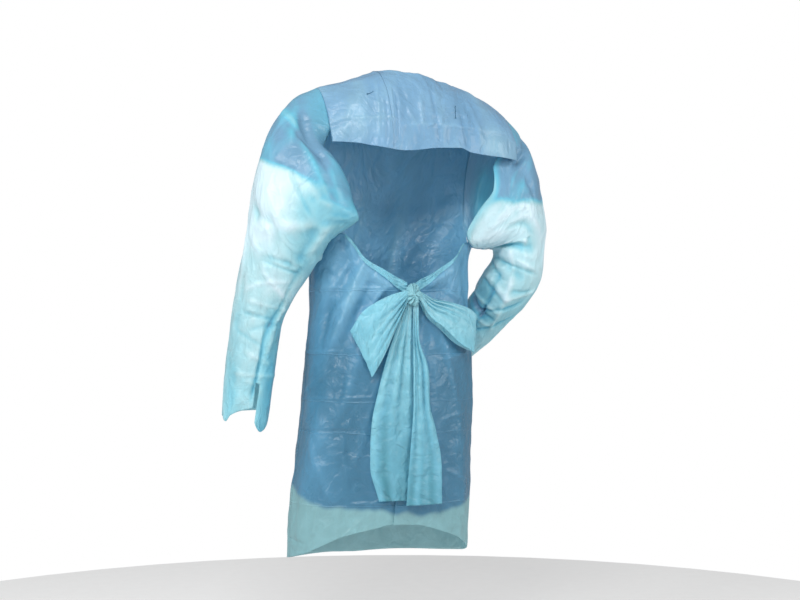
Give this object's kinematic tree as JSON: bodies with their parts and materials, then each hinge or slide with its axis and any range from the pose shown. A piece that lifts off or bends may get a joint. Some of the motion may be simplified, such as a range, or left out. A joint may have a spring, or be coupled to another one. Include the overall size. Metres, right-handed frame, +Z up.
{
  "type": "sleeved apron",
  "caption": "Thin plastic film gown with long sleeves, worn: closed in front, open across the upper back, tied in a bow behind the waist; one arm bent.",
  "frame": {"origin": "base of the wearer's neck, midway between the shoulders, where the garment hangs on them", "axes": "+Z up, the wearer's front faces -Y and their left is +X"},
  "size_m": [0.7716, 0.3374, 1.1364],
  "materials": {
    "body_film": "thin translucent blue plastic film, crinkled, soft sheen",
    "sleeve_film": "thin translucent pale blue plastic film, soft sheen",
    "tie_film": "thin translucent blue plastic film, gathered"
  },
  "bodies": {
    "root": {"body_front": "body_film", "back_yoke": "body_film", "back_wing_left": "body_film", "back_wing_right": "body_film", "sleeve_left": "sleeve_film", "sleeve_right": "sleeve_film", "waist_tie_left": "tie_film", "waist_tie_right": "tie_film", "bow_knot": "tie_film", "bow_loop_left": "tie_film", "bow_loop_right": "tie_film", "bow_tail_left": "tie_film", "bow_tail_right": "tie_film"}
  },
  "joints": []
}
